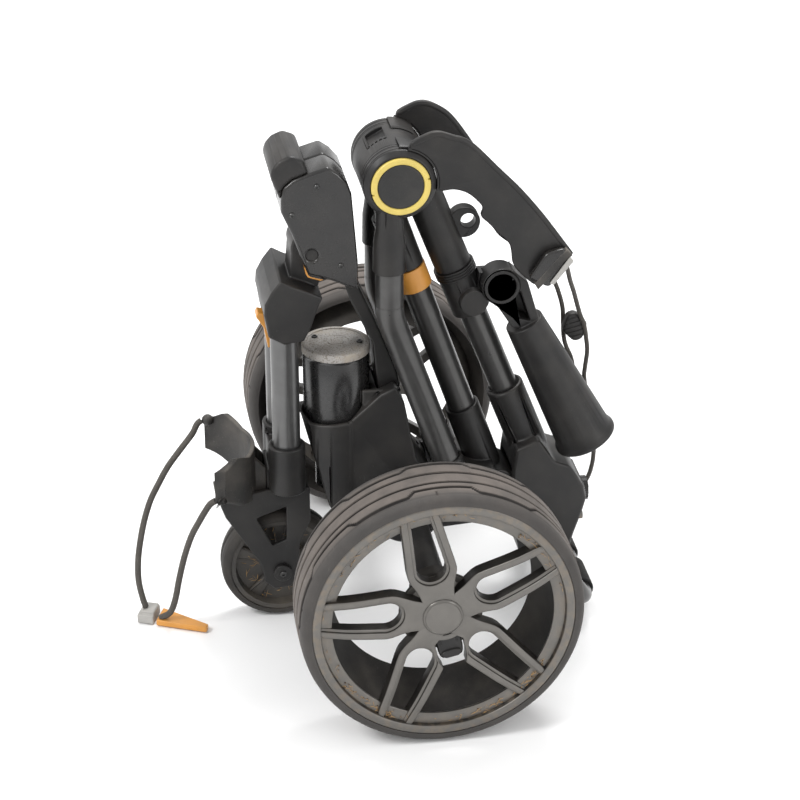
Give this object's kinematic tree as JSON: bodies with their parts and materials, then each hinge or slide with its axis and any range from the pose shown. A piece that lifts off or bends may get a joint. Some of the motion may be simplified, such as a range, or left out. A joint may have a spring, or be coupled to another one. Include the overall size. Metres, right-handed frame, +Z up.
{
  "type": "folded electric golf trolley",
  "caption": "Compact electric golf trolley folded and standing on its wheels, with bent tube stem, motor and gearbox, bag supports and elastic cords.",
  "frame": {"origin": "on the ground, under the middle of the trolley's width and of its length without the cords", "axes": "+X along the rear axle, -Y towards the front wheel, +Z up"},
  "size_m": [0.57, 0.5343, 0.582],
  "materials": {
    "black_plastic": "matte moulded plastic",
    "tube_metal": "satin dark gunmetal",
    "steel": "bright steel",
    "motor_steel": "gloss black",
    "motor_face": "dusty light grey",
    "rim_grey": "satin gunmetal grey",
    "tyre_rubber": "dusty dark rubber",
    "gold_plastic": "golden yellow plastic",
    "ring_yellow": "pale yellow plastic",
    "display_grey": "glossy dark grey",
    "grip_foam": "soft dark foam",
    "cord_grey": "woven elastic cord",
    "hook_grey": "light grey plastic"
  },
  "bodies": {
    "chassis": {"gearbox_case": "black_plastic", "motor_can": "motor_steel", "motor_end_plate": "motor_face", "axle_tubes": "black_plastic", "axle_shaft": "steel", "spine_beam": "black_plastic", "housing_near": "black_plastic", "housing_far": "black_plastic", "housing_cap": "black_plastic", "leg_hinge_pin": "steel", "stem_ears": "black_plastic", "stem_pivot_pin": "steel"},
    "near_wheel": {"rim_near": "rim_grey", "tyre_near": "tyre_rubber", "wheel_cap_near": "rim_grey", "wheel_catch_near": "black_plastic"},
    "far_wheel": {"rim_far": "rim_grey", "tyre_far": "tyre_rubber", "wheel_cap_far": "rim_grey", "wheel_catch_far": "black_plastic"},
    "front_leg": {"leg_sleeve": "black_plastic", "leg_tube_near": "tube_metal", "leg_tube_far": "tube_metal", "fork_crown": "black_plastic", "fork_plate_near": "black_plastic", "fork_plate_far": "black_plastic", "front_axle": "steel", "bag_cradle": "black_plastic", "lower_cord": "cord_grey", "cord_hook": "hook_grey", "hook_blade": "gold_plastic"},
    "front_wheel": {"front_rim": "rim_grey", "front_tyre": "tyre_rubber"},
    "leg_latch": {"leg_latch": "gold_plastic"},
    "housing_release": {"release_bar": "gold_plastic"},
    "lower_stem": {"stem_tube_near": "tube_metal", "stem_tube_far": "tube_metal", "stem_strut": "tube_metal", "barrel_end_near": "black_plastic", "barrel_end_far": "black_plastic", "end_rings": "ring_yellow", "strut_socket": "black_plastic", "stem_foot": "black_plastic"},
    "strut_latch": {"latch_collar": "gold_plastic"},
    "upper_stem": {"barrel_core": "black_plastic", "stem_sleeve": "black_plastic", "sleeve_clamp": "black_plastic", "support_arm_near": "black_plastic", "support_arm_far": "black_plastic", "support_bar": "black_plastic", "umbrella_hub": "black_plastic", "upper_cord": "cord_grey"},
    "handle": {"slide_tube": "tube_metal", "console_shell": "black_plastic", "display_panel": "display_grey", "handle_loop": "tube_metal", "handle_grips": "grip_foam"},
    "dial": {"speed_dial": "black_plastic"},
    "button": {"power_button": "display_grey"},
    "umbrella_holder": {"umbrella_cup": "black_plastic"}
  },
  "joints": [
    {"name": "near_wheel_spin", "type": "hinge", "parent": "chassis", "child": "near_wheel", "pos_m": [0, -0.0116, 0.147], "axis": [1, 0, 0], "continuous": true},
    {"name": "far_wheel_spin", "type": "hinge", "parent": "chassis", "child": "far_wheel", "pos_m": [0, -0.0116, 0.147], "axis": [1, 0, 0], "continuous": true},
    {"name": "front_wheel_spin", "type": "hinge", "parent": "front_leg", "child": "front_wheel", "pos_m": [0, -0.1476, 0.066], "axis": [1, 0, 0], "continuous": true},
    {"name": "front_leg_fold", "type": "hinge", "parent": "chassis", "child": "front_leg", "pos_m": [0, -0.1096, 0.45], "axis": [1, 0, 0], "range_deg": [-80, 0]},
    {"name": "leg_latch_lever", "type": "hinge", "parent": "front_leg", "child": "leg_latch", "pos_m": [0, -0.1506, 0.352], "axis": [1, 0, 0], "range_deg": [-12, 0], "stiffness_Nm_per_rad": 0.2},
    {"name": "housing_release_press", "type": "slide", "parent": "chassis", "child": "housing_release", "axis": [0, 0, 1], "range_m": [0, 0.003], "stiffness_N_per_m": 400},
    {"name": "lower_stem_tilt", "type": "hinge", "parent": "chassis", "child": "lower_stem", "pos_m": [0, 0.0924, 0.148], "axis": [1, 0, 0], "range_deg": [-35, 0]},
    {"name": "strut_collar_slide", "type": "slide", "parent": "lower_stem", "child": "strut_latch", "axis": [0, 0.3305, -0.9438], "range_m": [0, 0.012], "stiffness_N_per_m": 300},
    {"name": "stem_fold", "type": "hinge", "parent": "lower_stem", "child": "upper_stem", "pos_m": [0, -0.0186, 0.526], "axis": [1, 0, 0], "range_deg": [0, 140]},
    {"name": "handle_slide", "type": "slide", "parent": "upper_stem", "child": "handle", "axis": [0, 0.3629, -0.9318], "range_m": [0, 0.06]},
    {"name": "speed_dial_turn", "type": "hinge", "parent": "handle", "child": "dial", "pos_m": [0, 0.1914, 0.125], "axis": [0, 1, 0], "range_deg": [0, 270]},
    {"name": "power_button_press", "type": "slide", "parent": "handle", "child": "button", "axis": [0, -1, 0], "range_m": [0, 0.0015], "stiffness_N_per_m": 300},
    {"name": "umbrella_holder_tilt", "type": "hinge", "parent": "upper_stem", "child": "umbrella_holder", "pos_m": [0.022, 0.0924, 0.397], "axis": [1, 0, 0], "range_deg": [0, 20]}
  ],
  "couplings": [
    {"joint": "far_wheel_spin", "follows": "near_wheel_spin", "ratio": 1}
  ]
}
